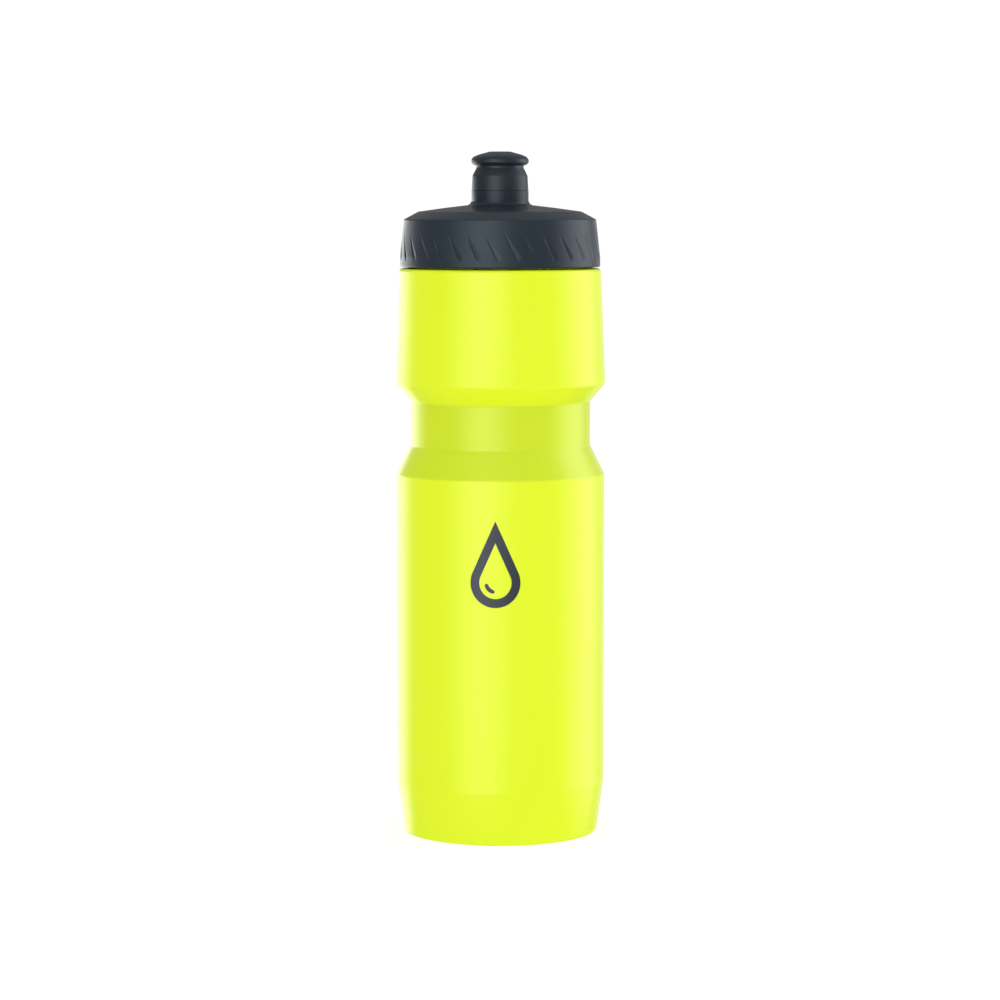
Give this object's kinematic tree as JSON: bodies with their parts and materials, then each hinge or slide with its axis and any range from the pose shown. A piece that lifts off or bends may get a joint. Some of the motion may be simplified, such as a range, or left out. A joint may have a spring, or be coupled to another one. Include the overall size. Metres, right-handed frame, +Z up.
{
  "type": "cycling water bottle",
  "caption": "Soft squeeze bottle for a bicycle, with a waist groove, a threaded neck, a screw cap with slanted grip grooves and a pull-up drinking nozzle.",
  "frame": {"origin": "centre of the bottle's footprint, on the plane that it stands on", "axes": "+Z up along the bottle's axis, towards the nozzle; -Y towards the side that carries the printed mark; +X to the right of a viewer who faces that side"},
  "size_m": [0.0744, 0.0744, 0.2409],
  "materials": {
    "squeeze_body": "satin, translucent",
    "cap": "satin",
    "gasket": "matte",
    "collar": "satin",
    "plug": "satin",
    "o_ring": "matte",
    "sleeve": "semi-gloss",
    "mouthpiece": "satin"
  },
  "bodies": {
    "bottle": {"bottle_body": "squeeze_body"},
    "cap_seal": {"cap_gasket": "gasket"},
    "cap": {"cap_shell": "cap", "spout_collar": "collar", "valve_plug": "plug", "spout_seal": "o_ring"},
    "nozzle": {"nozzle_sleeve": "sleeve", "mouthpiece": "mouthpiece"}
  },
  "joints": [
    {"name": "cap_lift", "type": "slide", "parent": "bottle", "child": "cap_seal", "axis": [0, 0, 1], "range_m": [0, 0.015]},
    {"name": "cap_turn", "type": "hinge", "parent": "cap_seal", "child": "cap", "pos_m": [0, 0, 0.2], "axis": [0, 0, 1], "range_deg": [0, 1080]},
    {"name": "nozzle_pull", "type": "slide", "parent": "cap", "child": "nozzle", "axis": [0, 0, 1], "range_m": [0, 0.006]}
  ],
  "couplings": [
    {"joint": "cap_lift", "follows": "cap_turn", "m_per_rad": 0.00079577}
  ]
}
